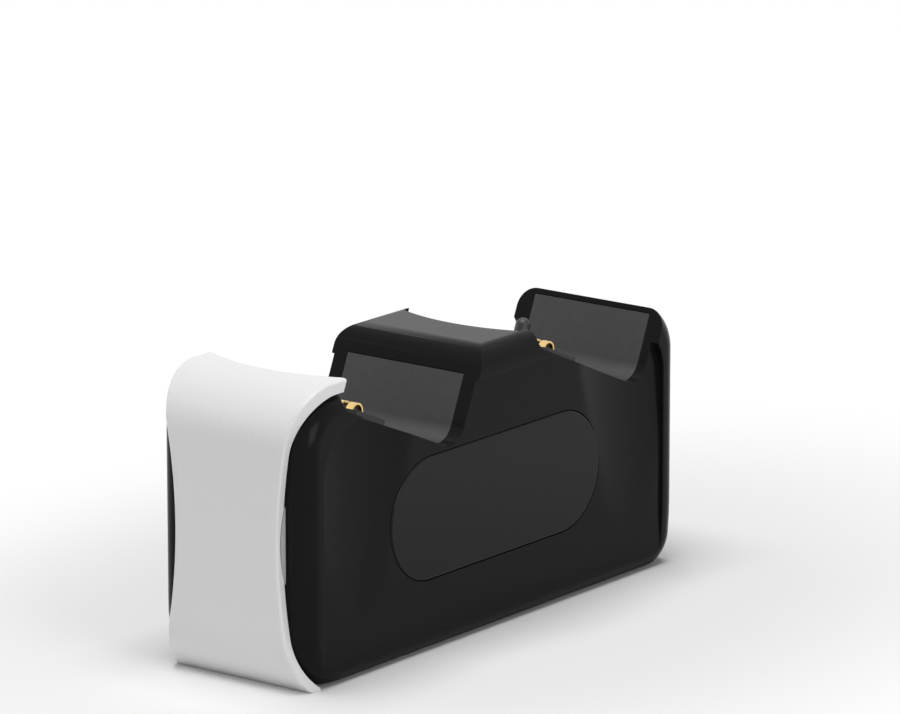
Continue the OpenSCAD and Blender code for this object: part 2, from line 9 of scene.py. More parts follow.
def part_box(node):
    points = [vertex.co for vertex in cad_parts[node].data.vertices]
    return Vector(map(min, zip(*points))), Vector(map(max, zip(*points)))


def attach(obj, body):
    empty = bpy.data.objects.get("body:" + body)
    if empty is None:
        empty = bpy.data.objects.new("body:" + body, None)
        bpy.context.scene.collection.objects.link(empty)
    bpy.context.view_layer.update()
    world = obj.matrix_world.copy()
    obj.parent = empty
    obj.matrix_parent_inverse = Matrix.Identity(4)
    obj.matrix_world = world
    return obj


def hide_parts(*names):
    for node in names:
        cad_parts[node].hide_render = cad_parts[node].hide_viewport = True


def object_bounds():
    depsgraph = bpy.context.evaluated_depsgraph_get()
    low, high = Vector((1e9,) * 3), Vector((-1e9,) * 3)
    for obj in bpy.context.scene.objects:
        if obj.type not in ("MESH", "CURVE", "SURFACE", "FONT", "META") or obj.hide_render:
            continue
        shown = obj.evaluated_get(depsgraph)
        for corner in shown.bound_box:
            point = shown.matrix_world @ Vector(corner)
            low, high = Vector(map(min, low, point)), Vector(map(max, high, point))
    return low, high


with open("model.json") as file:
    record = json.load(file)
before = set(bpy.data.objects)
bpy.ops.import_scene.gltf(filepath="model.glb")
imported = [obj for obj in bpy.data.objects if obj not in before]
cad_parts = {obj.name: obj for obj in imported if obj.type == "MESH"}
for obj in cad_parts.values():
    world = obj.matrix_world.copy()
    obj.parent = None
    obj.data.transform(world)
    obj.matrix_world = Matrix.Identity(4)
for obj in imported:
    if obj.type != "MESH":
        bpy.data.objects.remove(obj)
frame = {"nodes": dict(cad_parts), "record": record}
NODES = frame["nodes"]
CAD_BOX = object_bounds()

# Camera, measured from the photograph: a long lens, from the front right and a little above.
# Its place and its reach are in metres, its lens and its sensor in millimetres.

CAMERA_PLACE = (0.8407, -1.0879, 0.4025)
CAMERA_AZIMUTH = math.radians(37.45)
CAMERA_ELEVATION = math.radians(14.133)
CAMERA_LENS = 268.15
CAMERA_SENSOR = 36
CAMERA_REACH = 20


def make_camera():
    data = bpy.data.cameras.new("camera")
    data.lens = CAMERA_LENS
    data.sensor_width = CAMERA_SENSOR
    data.sensor_fit = "HORIZONTAL"
    data.clip_end = CAMERA_REACH
    camera = bpy.data.objects.new("camera", data)
    bpy.context.scene.collection.objects.link(camera)
    look = Vector((
        -math.sin(CAMERA_AZIMUTH) * math.cos(CAMERA_ELEVATION),
        math.cos(CAMERA_AZIMUTH) * math.cos(CAMERA_ELEVATION),
        -math.sin(CAMERA_ELEVATION)))
    camera.location = CAMERA_PLACE
    camera.rotation_euler = look.to_track_quat("-Z", "Y").to_euler()
    bpy.context.scene.camera = camera


make_camera()


# Sizes in millimetres. The overall ones come from the frame, and y runs back from the
# front of the band. FIT is the clearance between two pieces, OVER is how far a tool
# reaches past what it cuts, and FAR is more than the whole dock. The points of an arc
# lie ARC_STEP degrees apart, or less.

MM = 0.001
DEPTH = (CAD_BOX[1][1] - CAD_BOX[0][1]) / MM
HEIGHT = CAD_BOX[1][2] / MM
HALF_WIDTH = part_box("housing")[1][0] / MM
FOOT_GAP = 0.8
FIT = 0.15
OVER = 1.0
FAR = 200.0
ARC_STEP = 2.5
EDGE_STEPS = 10

# Front band, its waist, its two curls and the hooks that hold it. Its bottom curl goes on
# for BELOW_TABLE degrees below the table, where it is cut off.
BAND_THICKNESS = 2.0
TOP_THICKNESS = 2.6
WAIST_INSET = 6.0
WAIST_HALF = HALF_WIDTH - WAIST_INSET
WAIST_HEIGHT = 31.5
WAIST_RADIUS = 112.0
BOTTOM_CURL = 15.7
BOTTOM_CURL_HEIGHT = 12.0
BELOW_TABLE = 12
TOP_CURL = 12.4
INNER_CURL = 11.5
BAND_TOP = 4.6
BAND_EDGE = 0.8
BAND_EDGE_DEPTH = 0.55
BAND_STEPS = 32
SKIN = BAND_THICKNESS + FIT
TOP_CURL_HEIGHT = HEIGHT - TOP_CURL
INNER_Y = BAND_THICKNESS + INNER_CURL
INNER_Z = HEIGHT - TOP_THICKNESS - INNER_CURL
CLIP_SIDE = 8.0
CLIP_ROWS = (17.0, 46.0)
CLIP_WIDTH = 5.0
CLIP_THICKNESS = 1.6
CLIP_NOSE = 0.8

# Light guides
GUIDE_LENGTH = 22.0
GUIDE_RISE = 2.1
GUIDE_WIDTH = 3.4
GUIDE_SEAT = 1.1
GUIDE_BACK = SKIN + GUIDE_SEAT
GUIDE_ARC_STEP = 0.75
GUIDE_RADIUS = (GUIDE_LENGTH ** 2 / 4 + GUIDE_RISE ** 2) / (2 * GUIDE_RISE)
LAMP_WIDTH = 2.4

# Housing, its walls, its back and the screw bosses in it
EDGE_ROUND = 4.5
TUCK_HEIGHT = 15.4
TUCK_RADIUS = 100.0
TUCK_STEPS = 8
WALL = 2.2
SIDE_WALL = 4.6
BACK_TOP_RADIUS = 11.0
BACK_HEIGHT = 59.4
BACK_FOOT_RADIUS = 8.0
BACK_FOOT_HEIGHT = 7.0
HUMP_ROUND = 6.0
HOUSING_TOP = HEIGHT - TOP_THICKNESS - FIT
CAVITY_HALF = HALF_WIDTH - SIDE_WALL
BASE_THICKNESS = 2.0
BASE_TOP = FOOT_GAP + BASE_THICKNESS
BASE_FRONT = BOTTOM_CURL
BASE_BACK = DEPTH - BACK_FOOT_RADIUS
BOSS_DIAMETER = 6.0
BOSS_HEIGHT = 18.0
BOSS_INSET = 5.0
BOSS_ROOT = 0.6
SCREW_DIAMETER = 2.2

# Side recesses with their scoops, and the panels in them
RECESS_DEPTH = 0.7
RECESS_FRONT = 8.3
RECESS_END = 5.6
RECESS_RIM = 6.2
RECESS_BACK = DEPTH - RECESS_END
RECESS_TOP = HOUSING_TOP - RECESS_RIM
RECESS_RADIUS = 11.3
RECESS_EDGE = 0.25
RECESS_EDGE_STEPS = 4
RECESS_FACE = HALF_WIDTH - RECESS_DEPTH
PANEL_HEIGHT = 26.6
PANEL_START = 31.0
PANEL_BASE = 15.7
PANEL_THICKNESS = 1.6
PANEL_RISE = 0.1
PANEL_EDGE = 0.4
PANEL_EDGE_STEPS = 6
PANEL_ARC_STEP = 1.5
PANEL_ROUND = PANEL_HEIGHT / 2
PANEL_MIDDLE = PANEL_BASE + PANEL_ROUND
PANEL_FRONT = PANEL_START + PANEL_ROUND
PANEL_BACK = RECESS_FRONT + RECESS_BACK - PANEL_FRONT
SCOOP_DEPTH = 0.6
SCOOP_RADIUS = 100.0
SCOOP_LEAN = math.radians(2.6)
SCOOP_BLEND = 0.25
SCOOP_STEP = 1.0
SCOOP_Y = (RECESS_FRONT + PANEL_START) / 2

# Seats, their liners and the windows for the contact blocks
SEAT_PITCH = 66.5
SEAT_LEAN = math.radians(23.2)
SEAT_LENGTH = 43.0
LIP_DEPTH = 6.5
LIP_BOW = 43.0
BOW_REACH = 3.5
SEAT_FRONT_RADIUS = 2.0
SEAT_BACK_RADIUS = 5.0
LINER_THICKNESS = 1.6
LINER_INSET = 4.0
LINER_HALF = HALF_WIDTH - LINER_INSET
REST_HEIGHT = 16.0
LINER_DROP = 1.0
BLOCK_MARGIN = 3.6
BLOCK_WIDTH = 2 * (LINER_HALF - BLOCK_MARGIN)
BLOCK_LENGTH = 10.0
BLOCK_SETBACK = 23.2
BLOCK_Y = SEAT_LENGTH - BLOCK_SETBACK
WEB_UNDER = LINER_THICKNESS + FIT + WALL
LIP_Y = TOP_CURL + BAND_TOP
SEAT_Y = LIP_Y - LIP_DEPTH * math.sin(SEAT_LEAN)
SEAT_Z = HEIGHT - LIP_DEPTH * math.cos(SEAT_LEAN)

# Power inlet and the recess that it lies in
PLUG_WIDTH = 13.0
PLUG_SIZE = 7.0
PLUG_DEPTH = 5.0
INLET_HEIGHT = 10.6
INLET_WIDTH = 9.0
INLET_SIZE = 3.2

TO_FRAME = Matrix.Scale(MM, 4) @ Matrix.Translation((0, -DEPTH / 2, 0))


# Outlines, as lists of points in y and z

def quarter_turn(steps):
    """Angles from nothing to a right angle."""
    return [math.radians(90 * i / steps) for i in range(steps + 1)]


def arc(y, z, radius, start, end, step=ARC_STEP):
    """Points on a circle between two angles in degrees, a step or less apart."""
    count = max(2, math.ceil(abs(end - start) / step))
    angles = [math.radians(start + (end - start) * i / count) for i in range(count + 1)]
    return [(y + radius * math.cos(a), z + radius * math.sin(a)) for a in angles]


def wrap(circles, inset=0.0):
    """The line pulled tight round some circles, moved in by inset."""
    turns = []
    for (y, z, radius), (y2, z2, radius2) in zip(circles, circles[1:] + circles[:1]):
        along = math.atan2(z2 - z, y2 - y)
        lean = math.acos((radius - radius2) / math.hypot(y2 - y, z2 - z))
        turns.append(math.degrees(along - lean))
    line = []
    for i, (y, z, radius) in enumerate(circles):
        line += arc(y, z, radius - inset, turns[i - 1], turns[i - 1] + (turns[i] - turns[i - 1]) % 360)
    return line


def oblong(width, height):
    """An outline with round ends left and right, middle on the origin."""
    middle = (width - height) / 2
    return arc(middle, 0, height / 2, -90, 90) + arc(-middle, 0, height / 2, 90, 270)


# Circles that the housing's outline is pulled tight round, seen from the side
HULL = [
    (BASE_BACK, BACK_FOOT_HEIGHT, BACK_FOOT_RADIUS),
    (DEPTH - BACK_TOP_RADIUS, BACK_HEIGHT - BACK_TOP_RADIUS, BACK_TOP_RADIUS),
    (LIP_Y + SEAT_PITCH, HOUSING_TOP - HUMP_ROUND, HUMP_ROUND),
    (INNER_Y, INNER_Z, INNER_CURL - FIT),
    (BOTTOM_CURL, BOTTOM_CURL_HEIGHT, BOTTOM_CURL - SKIN),
]


# Solids, made in millimetres from outlines

def solid(name, vertices, faces, place=Matrix.Identity(4)):
    """A closed mesh with its faces turned outwards."""
    mesh = bpy.data.meshes.new(name)
    mesh.from_pydata([place @ Vector(v) for v in vertices], [], faces)
    form = bmesh.new()
    form.from_mesh(mesh)
    bmesh.ops.recalc_face_normals(form, faces=form.faces[:])
    form.to_mesh(mesh)
    form.free()
    obj = bpy.data.objects.new(name, mesh)
    bpy.context.scene.collection.objects.link(obj)
    return obj


def loft(name, rings, place=Matrix.Identity(4)):
    """A solid through rings of points, closed at both ends."""
    count = len(rings[0])
    faces = [list(range(count))[::-1]]
    for r in range(len(rings) - 1):
        for i in range(count):
            j = (i + 1) % count
            faces.append([r * count + i, r * count + j, (r + 1) * count + j, (r + 1) * count + i])
    faces.append([(len(rings) - 1) * count + i for i in range(count)])
    return solid(name, [p for ring in rings for p in ring], faces, place)


def prism(name, outline, start, end, place=Matrix.Identity(4)):
    """An outline in y and z, drawn out along x."""
    return loft(name, [[(x, y, z) for y, z in outline] for x in (start, end)], place)


def tower(name, outline, low, high, place=Matrix.Identity(4)):
    """An outline in x and y, drawn up from low to high."""
    return loft(name, [[(x, y, z) for x, y in outline] for z in (low, high)], place)


def block(name, low, high, place=Matrix.Identity(4)):
    """A box between its lowest and its highest corner."""
    outline = [(low[0], low[1]), (high[0], low[1]), (high[0], high[1]), (low[0], high[1])]
    return tower(name, outline, low[2], high[2], place)


def rod(name, x, y, radius, low, high):
    """An upright cylinder."""
    return tower(name, arc(x, y, radius, 0, 360)[:-1], low, high)


def combine(target, operation, tools):
    """Cuts tools from the target, joins them to it or keeps what they share. The tools are used up."""
    for tool in tools:
        modifier = target.modifiers.new(tool.name, "BOOLEAN")
        modifier.operation = operation
        modifier.solver = "MANIFOLD"
        modifier.object = tool
    graph = bpy.context.evaluated_depsgraph_get()
    mesh = bpy.data.meshes.new_from_object(target.evaluated_get(graph))
    target.modifiers.clear()
    target.data = mesh
    for tool in tools:
        bpy.data.objects.remove(tool)
    return target


def mirrored(obj):
    """A copy of a solid on the other side of the dock."""
    other = obj.copy()
    other.data = obj.data.copy()
    other.data.transform(Matrix.Scale(-1, 4, (1, 0, 0)))
    other.data.flip_normals()
    bpy.context.scene.collection.objects.link(other)
    return other


# Seats

def in_seat(shift):
    """The frame of a seat: y runs back along its floor, z up along its rest."""
    return Matrix.Translation((0, SEAT_Y + shift, SEAT_Z)) @ Matrix.Rotation(-SEAT_LEAN, 4, "X")


def seat_outline(grown, lip, rest):
    """Floor, lip and rest of a seat, from the side."""
    front = SEAT_FRONT_RADIUS + grown
    back = SEAT_BACK_RADIUS + grown
    inner = SEAT_LENGTH + grown - back
    return ([(-grown, lip)]
            + arc(front - grown, front - grown, front, 180, 270)
            + arc(inner, back - grown, back, 270, 360)
            + [(inner + back, rest), (inner, rest), (inner, lip)])


def seat_space(shift, grown, half, lip, rest):
    """What a seat takes away: its channel, and the bow in the back of its lip."""
    place = in_seat(shift)
    channel = prism("seat channel", seat_outline(grown, lip, rest), -half, half, place)
    centre = LIP_BOW - BOW_REACH
    radius = LIP_BOW + grown
    reach = math.degrees(math.asin(min(half, HALF_WIDTH + OVER) / radius))
    line = arc(0, centre, radius, 270 - reach, 270 + reach)
    inside = SEAT_LENGTH / 4
    line += [(line[-1][0], inside), (line[0][0], inside)]
    bow = tower("seat bow", line, -grown, lip, place)
    return combine(channel, "UNION", [bow])


def contact_window(shift):
    """The hole of a seat that its contact block stands in."""
    half = BLOCK_WIDTH / 2 + FIT
    long = BLOCK_LENGTH / 2 + FIT
    return block("contact window", (-half, BLOCK_Y - long, -WEB_UNDER - OVER),
                 (half, BLOCK_Y + long, OVER), in_seat(shift))


def hump_edge():
    """What the round front edge of the middle hump takes away."""
    up = Vector((math.sin(SEAT_LEAN), math.cos(SEAT_LEAN)))
    base = Vector((SEAT_Y, SEAT_Z)) + SEAT_LENGTH * Vector((math.cos(SEAT_LEAN), -math.sin(SEAT_LEAN)))
    corner = base + up * (HOUSING_TOP - base.y) / up.y
    reach = HUMP_ROUND / math.tan((math.pi / 2 + SEAT_LEAN) / 2)
    line = arc(corner.x + reach, corner.y - HUMP_ROUND, HUMP_ROUND, 180 - math.degrees(SEAT_LEAN), 90)
    line += [(corner.x + reach, corner.y + OVER), (corner.x - 2 * OVER, corner.y + OVER),
             (line[0][0] - 2 * OVER, line[0][1])]
    return prism("hump edge", line[::-1], -FAR, FAR)


# Housing

def tuck(z):
    """How far the sides lean in, as a share of the half width."""
    drop = max(TUCK_HEIGHT - z, 0)
    return 1 - (TUCK_RADIUS - math.sqrt(TUCK_RADIUS ** 2 - drop ** 2)) / HALF_WIDTH


TUCK_LEVELS = [FOOT_GAP + (TUCK_HEIGHT - FOOT_GAP) * i / TUCK_STEPS for i in range(TUCK_STEPS + 1)]


def envelope():
    """The housing's outer form: its outline drawn across, with round edges and sides that lean in."""
    levels = [(HALF_WIDTH - EDGE_ROUND * (1 - math.sin(t)), EDGE_ROUND * (1 - math.cos(t)))
              for t in quarter_turn(EDGE_STEPS)]
    levels = [(-x, inset) for x, inset in levels[::-1]] + levels
    body = loft("housing", [[(x, y, z) for y, z in wrap(HULL, inset)] for x, inset in levels])
    form = bmesh.new()
    form.from_mesh(body.data)
    for z in TUCK_LEVELS[1:]:
        bmesh.ops.bisect_plane(form, geom=form.verts[:] + form.edges[:] + form.faces[:],
                               plane_co=(0, 0, z), plane_no=(0, 0, 1))
    cut = bmesh.ops.bisect_plane(form, geom=form.verts[:] + form.edges[:] + form.faces[:],
                                 plane_co=(0, 0, FOOT_GAP), plane_no=(0, 0, 1), clear_inner=True)
    rim = [e for e in cut["geom_cut"] if isinstance(e, bmesh.types.BMEdge)]
    bmesh.ops.edgeloop_fill(form, edges=rim)
    for vertex in form.verts:
        vertex.co.x *= tuck(vertex.co.z)
    bmesh.ops.recalc_face_normals(form, faces=form.faces[:])
    form.to_mesh(body.data)
    form.free()
    return body


def recess_outline(grown):
    """The recess from the side, open at the bottom."""
    front = RECESS_FRONT - grown
    back = RECESS_BACK + grown
    top = RECESS_TOP - RECESS_RADIUS
    low = [-2 * OVER] + TUCK_LEVELS
    return ([(front, low[0])]
            + [(back, z) for z in low]
            + arc(RECESS_BACK - RECESS_RADIUS, top, RECESS_RADIUS + grown, 0, 90)
            + arc(RECESS_FRONT + RECESS_RADIUS, top, RECESS_RADIUS + grown, 90, 180)
            + [(front, z) for z in low[:0:-1]])


def scoop(y, z):
    """Depth of the scoops at a place of the recess, which ease out into its flat face."""
    depth = 0.0
    for centre in (SCOOP_Y, RECESS_FRONT + RECESS_BACK - SCOOP_Y):
        reach = SCOOP_RADIUS ** 2 - min(abs(y - centre), SCOOP_RADIUS) ** 2
        raw = SCOOP_DEPTH - SCOOP_RADIUS + (z - PANEL_MIDDLE) * math.tan(SCOOP_LEAN)
        raw += math.sqrt(reach) / math.cos(SCOOP_LEAN)
        if raw >= SCOOP_BLEND:
            depth += raw
        elif raw > -SCOOP_BLEND:
            depth += (raw + SCOOP_BLEND) ** 2 / (4 * SCOOP_BLEND)
    return depth


def scooped_face():
    """A solid that fills the recess down to its scooped face, and more beyond its outline."""
    columns = math.ceil(2 * SCOOP_Y / SCOOP_STEP)
    rows = math.ceil((RECESS_TOP + 6 * OVER) / SCOOP_STEP)
    near = [RECESS_FRONT - 2 * OVER + SCOOP_STEP * i for i in range(columns)]
    ys = near + [RECESS_FRONT + RECESS_BACK - y for y in near[::-1]]
    zs = [-3 * OVER + SCOOP_STEP * i for i in range(rows)]
    count = len(zs)
    vertices = [(RECESS_FACE - scoop(y, z), y, z) for y in ys for z in zs]
    faces = [[i * count + j, i * count + j + 1, (i + 1) * count + j + 1, (i + 1) * count + j]
             for i in range(len(ys) - 1) for j in range(count - 1)]
    outer = len(vertices)
    vertices += [(HALF_WIDTH + 4 * OVER, y, z) for y, z in
                 ((ys[0], zs[0]), (ys[-1], zs[0]), (ys[-1], zs[-1]), (ys[0], zs[-1]))]
    last = (len(ys) - 1) * count
    faces += [
        [outer, outer + 1, outer + 2, outer + 3],
        [i * count for i in range(len(ys))] + [outer + 1, outer],
        list(range(last, last + count)) + [outer + 2, outer + 1],
        [i * count + count - 1 for i in range(len(ys))][::-1] + [outer + 3, outer + 2],
        list(range(count))[::-1] + [outer, outer + 3],
    ]
    return solid("scooped face", vertices, faces)


def recess():
    """What the side recess takes away: a round-cornered outline over a gently scooped face."""
    levels = [(HALF_WIDTH + 2 * OVER, RECESS_EDGE)]
    levels += [(HALF_WIDTH - RECESS_EDGE * (1 - math.cos(t)), RECESS_EDGE * (1 - math.sin(t)))
               for t in quarter_turn(RECESS_EDGE_STEPS)]
    levels += [(CAVITY_HALF, 0)]
    rings = [[(x * (1 if x < RECESS_FACE else tuck(z)), y, z) for y, z in recess_outline(grown)]
             for x, grown in levels[::-1]]
    return combine(loft("recess", rings), "INTERSECT", [scooped_face()])


def panel_outline(grown):
    """The panel from the side: straight above and below, round in front and behind."""
    return (arc(PANEL_BACK, PANEL_MIDDLE, PANEL_ROUND + grown, -90, 90, PANEL_ARC_STEP)
            + arc(PANEL_FRONT, PANEL_MIDDLE, PANEL_ROUND + grown, 90, 270, PANEL_ARC_STEP))


def cavity():
    """The hollow of the housing, with the seats and the inlet's wall left standing."""
    hollow = prism("cavity", wrap(HULL, WALL), -CAVITY_HALF, CAVITY_HALF)
    tools = [block("floor", (-FAR, -FAR, -FAR), (FAR, FAR, BASE_TOP))]
    for shift in (0, SEAT_PITCH):
        under = [(-BOW_REACH - WEB_UNDER, -WEB_UNDER), (SEAT_LENGTH + WEB_UNDER, -WEB_UNDER),
                 (SEAT_LENGTH + WEB_UNDER, FAR), (-BOW_REACH - WEB_UNDER, FAR)]
        tools.append(prism("under seat", under, -FAR, FAR, in_seat(shift)))
    half = PLUG_WIDTH / 2 + WALL
    tools.append(block("inlet wall", (-half, DEPTH - PLUG_DEPTH - WALL, -OVER),
                       (half, DEPTH + OVER, INLET_HEIGHT + PLUG_SIZE / 2 + WALL)))
    return combine(hollow, "DIFFERENCE", tools)


def slot_along_y(name, width, height, start, end):
    """A slot with round ends at the height of the inlet."""
    rings = [[(x, y, INLET_HEIGHT + z) for x, z in oblong(width, height)] for y in (end, start)]
    return loft(name, rings)


def guide_side():
    """How far out a light guide reaches: as far as the band does beside the guide's ends."""
    return band_half(WAIST_HEIGHT + GUIDE_LENGTH / 2)


def guide_body(grown):
    """The lens shape of a light guide, right hand side."""
    radius = GUIDE_RADIUS + grown
    centre = GUIDE_BACK - GUIDE_RISE + GUIDE_RADIUS
    reach = math.degrees(math.acos((centre - GUIDE_BACK - grown) / radius))
    line = arc(centre, WAIST_HEIGHT, radius, 180 - reach, 180 + reach, GUIDE_ARC_STEP)
    return prism("light guide", line, guide_side() - GUIDE_WIDTH - grown, guide_side())


def clip_slots():
    """The slots that the band's hooks snap into."""
    tools = []
    for x in (-CLIP_SIDE, CLIP_SIDE):
        for z in CLIP_ROWS:
            tools.append(block(
                "clip slot", (x - CLIP_WIDTH / 2 - FIT, 0, z - CLIP_THICKNESS / 2 - FIT),
                (x + CLIP_WIDTH / 2 + FIT, SKIN + WALL + OVER, z + CLIP_THICKNESS / 2 + CLIP_NOSE + FIT)))
    return tools


def boss_places():
    """Middles of the six screw bosses, as x and y."""
    x = CAVITY_HALF - BOSS_DIAMETER / 2 + BOSS_ROOT
    rows = (BASE_FRONT + BOSS_INSET, (BASE_FRONT + BASE_BACK) / 2, BASE_BACK - BOSS_INSET)
    return [(side * x, y) for y in rows for side in (-1, 1)]


def side_cuts():
    """What is cut from the right hand side for the recess, the panel and the light guide."""
    inner = guide_side() - GUIDE_WIDTH - FIT
    half = LAMP_WIDTH / 2 + FIT
    return [
        recess(),
        prism("panel pocket", panel_outline(FIT), RECESS_FACE - PANEL_THICKNESS, FAR),
        guide_body(FIT),
        block("guide slot", (inner, 0, WAIST_HEIGHT - half),
              (inner + 2 * half, SKIN + WALL + OVER, WAIST_HEIGHT + half))]


def make_housing():
    """The moulding, with its seats, recesses, hollow, inlet and screw bosses."""
    body = envelope()
    cuts = []
    for shift in (0, SEAT_PITCH):
        cuts.append(seat_space(shift, 0, FAR, FAR, FAR))
        cuts.append(seat_space(shift, LINER_THICKNESS + FIT, LINER_HALF, LIP_DEPTH, REST_HEIGHT + FIT))
        cuts.append(contact_window(shift))
    cuts.append(hump_edge())
    sides = side_cuts()
    cuts += sides + [mirrored(tool) for tool in sides]
    cuts.append(cavity())
    cuts.append(block("base opening", (-CAVITY_HALF, BASE_FRONT, -OVER),
                      (CAVITY_HALF, BASE_BACK, BASE_TOP)))
    cuts.append(slot_along_y("plug recess", PLUG_WIDTH, PLUG_SIZE, DEPTH - PLUG_DEPTH, DEPTH + OVER))
    cuts.append(slot_along_y("inlet slot", INLET_WIDTH + 2 * FIT, INLET_SIZE + 2 * FIT,
                             DEPTH - PLUG_DEPTH - WALL - OVER, DEPTH))
    cuts += clip_slots()
    combine(body, "DIFFERENCE", cuts)
    combine(body, "UNION", [rod("boss", x, y, BOSS_DIAMETER / 2, BASE_TOP, BASE_TOP + BOSS_HEIGHT)
                            for x, y in boss_places()])
    combine(body, "DIFFERENCE", [rod("screw hole", x, y, SCREW_DIAMETER / 2, BASE_TOP - OVER,
                                     BASE_TOP + BOSS_HEIGHT - WALL) for x, y in boss_places()])
    return body


# Front band

def band_half(z):
    """Half the width of the band, which has its waist between two large arcs."""
    drop = z - WAIST_HEIGHT
    return WAIST_HALF + WAIST_RADIUS - math.sqrt(WAIST_RADIUS ** 2 - drop ** 2)


def band_line():
    """The outer line of the band from under the front to the back of its top, with its direction."""
    foot = 180 + math.degrees(math.asin(BOTTOM_CURL_HEIGHT / BOTTOM_CURL)) + BELOW_TABLE
    line = []
    for i in range(BAND_STEPS + 1):
        a = foot + (180 - foot) * i / BAND_STEPS
        y, z = arc(BOTTOM_CURL, BOTTOM_CURL_HEIGHT, BOTTOM_CURL, a, a)[0]
        line.append((y, z, a))
    rise = TOP_CURL_HEIGHT - BOTTOM_CURL_HEIGHT
    line += [(0, BOTTOM_CURL_HEIGHT + rise * i / BAND_STEPS, 180) for i in range(1, BAND_STEPS + 1)]
    for i in range(1, 2 * BAND_STEPS + 1):
        a = 180 - 90 * i / (2 * BAND_STEPS)
        y, z = arc(TOP_CURL, TOP_CURL_HEIGHT, TOP_CURL, a, a)[0]
        line.append((y, z, a))
    return line + [(INNER_Y, HEIGHT, 90), (LIP_Y + OVER, HEIGHT, 90)]


def band_depth(y, z, angle):
    """Thickness of the band, measured square to its outer line."""
    away = Vector((y - INNER_Y, z - INNER_Z))
    if away.y <= 0:
        return BAND_THICKNESS
    if away.x >= 0:
        return TOP_THICKNESS
    along = away.dot(Vector((math.cos(angle), math.sin(angle))))
    return along - math.sqrt(along ** 2 - away.length_squared + INNER_CURL ** 2)


def band_ring(y, z, degrees):
    """The band cut across at a point of its outer line."""
    angle = math.radians(degrees)
    half = band_half(min(z, HEIGHT))
    depth = band_depth(y, z, angle)
    edge = [(half - BAND_EDGE * (1 - math.cos(t)), BAND_EDGE_DEPTH * (1 - math.sin(t)))
            for t in quarter_turn(EDGE_STEPS)]
    side = [(half, depth)] + edge
    ring = side + [(-x, d) for x, d in side[::-1]]
    return [(x, y - math.cos(angle) * d, z - math.sin(angle) * d) for x, d in ring]


def clips():
    """The hooks on the back of the band."""
    end = SKIN + WALL + FIT
    half = CLIP_THICKNESS / 2
    line = [(BAND_THICKNESS - OVER, -half), (end + 2 * CLIP_NOSE, -half), (end + 2 * CLIP_NOSE, half),
            (end, half + CLIP_NOSE), (end, half), (BAND_THICKNESS - OVER, half)]
    return [prism("clip", [(y, z + row) for y, z in line], x - CLIP_WIDTH / 2, x + CLIP_WIDTH / 2)
            for x in (-CLIP_SIDE, CLIP_SIDE) for row in CLIP_ROWS]


def make_band():
    """The band, cut level at the table and open at the first seat, with its hooks."""
    band = loft("front_band", [band_ring(*p) for p in band_line()])
    inner = BOTTOM_CURL - SKIN
    end = BOTTOM_CURL - math.sqrt(inner ** 2 - (BOTTOM_CURL_HEIGHT - FOOT_GAP) ** 2) - FIT
    guide = guide_body(FIT)
    combine(band, "DIFFERENCE", [
        block("table", (-FAR, -FAR, -FAR), (FAR, FAR, 0)),
        block("end", (-FAR, end, -OVER), (FAR, end + BOTTOM_CURL, FOOT_GAP + FIT)),
        seat_space(0, 0, FAR, FAR, FAR),
        guide, mirrored(guide)])
    return combine(band, "UNION", clips())


# Panels, liners and light guides

def make_panel():
    """A side panel with a rounded outer edge, right hand side."""
    back = RECESS_FACE + PANEL_RISE - PANEL_THICKNESS
    levels = [(PANEL_THICKNESS - PANEL_EDGE * (1 - math.sin(t)), -PANEL_EDGE * (1 - math.cos(t)))
              for t in quarter_turn(PANEL_EDGE_STEPS)]
    rings = [[(back + x, y, z) for y, z in panel_outline(grown)] for x, grown in [(0, 0)] + levels]
    return loft("panel", rings)


def make_liner(shift):
    """The liner of a seat, cut level below the housing's top."""
    liner = seat_space(shift, LINER_THICKNESS, LINER_HALF - FIT, LIP_DEPTH, REST_HEIGHT)
    top = HOUSING_TOP - LINER_DROP
    return combine(liner, "DIFFERENCE", [
        seat_space(shift, 0, FAR, FAR, FAR),
        contact_window(shift),
        block("liner top", (-FAR, shift, top), (FAR, shift + SEAT_PITCH / 2, FAR))])


def make_guide():
    """A light guide with the stem that reaches back to its lamp, right hand side."""
    inner = guide_side() - GUIDE_WIDTH
    half = LAMP_WIDTH / 2
    stem = block("stem", (inner, GUIDE_BACK - OVER / 2, WAIST_HEIGHT - half),
                 (inner + LAMP_WIDTH, SKIN + WALL + OVER, WAIST_HEIGHT + half))
    return combine(guide_body(0), "UNION", [stem])


# Materials. Lengths are in metres, and the scale of a noise is in waves to the metre.

NOISE_LOW = 0.2
NOISE_HIGH = 0.8
NOISE_DETAIL = 3.0
GRAIN_DETAIL = 2.0
TINT_SCALE = 420
GLOSS_SCALE = 600
METAL_TINT_SCALE = 300
METAL_GLOSS_SCALE = 500
SOFT_EDGE = 0.00015
BEVEL_SAMPLES = 4
USUAL_INDEX = 1.5


